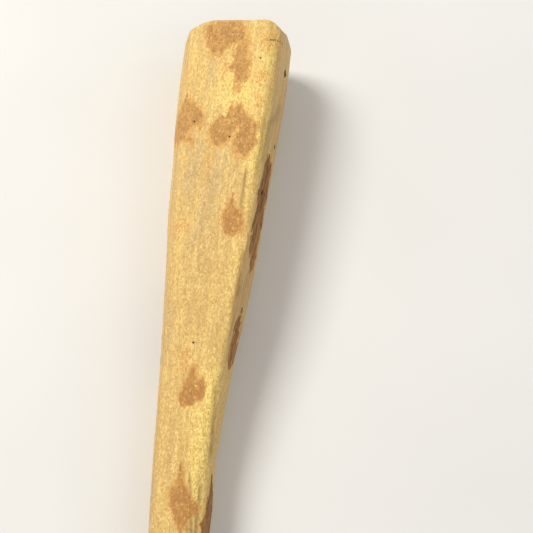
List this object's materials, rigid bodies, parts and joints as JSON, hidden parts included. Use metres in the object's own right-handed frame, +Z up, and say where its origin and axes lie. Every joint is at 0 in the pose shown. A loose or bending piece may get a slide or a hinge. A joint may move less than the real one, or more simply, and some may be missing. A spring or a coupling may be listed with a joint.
{
  "type": "didgeridoo",
  "caption": "Long flaring hewn-wood drone tube, split and glued lengthways, with a wax ring round the blown end and scraps of bark left on its sides.",
  "frame": {"origin": "centre of the bounding box's underside, on the floor that the instrument lies on", "axes": "+X along the tube to the bell, -X to the mouthpiece, +Z up out of the broad hewn front, +Y to the side of the left seam"},
  "size_m": [1.3002, 0.1052, 0.1025],
  "materials": {
    "pale_wood": "sanded smooth, satin",
    "wood_glue": "hard, slightly glossy line",
    "beeswax": "hand-rubbed wax, satin",
    "knot_wood": "dark dead knot, matt",
    "bark": "rough brown inner bark, matt"
  },
  "bodies": {
    "root": {"tube_front_half": "pale_wood", "tube_back_half": "pale_wood", "glue_line_left": "wood_glue", "glue_line_right": "wood_glue", "wax_mouthpiece": "beeswax", "knot_bell": "knot_wood", "knot_shoulder": "knot_wood", "knot_ridge": "knot_wood", "knot_waist": "knot_wood", "knot_stained": "knot_wood", "bark_bell_hook": "bark", "bark_bell_left": "bark", "bark_clover": "bark", "bark_teardrop": "bark", "bark_heart": "bark", "bark_leaf": "bark", "bark_strip_bell": "bark", "bark_strip_waist": "bark", "bark_strip_middle": "bark", "bark_middle_top": "bark", "bark_mouth_left": "bark", "bark_mouth_top": "bark", "bark_mouth_right": "bark", "bark_back_left": "bark"}
  },
  "joints": []
}
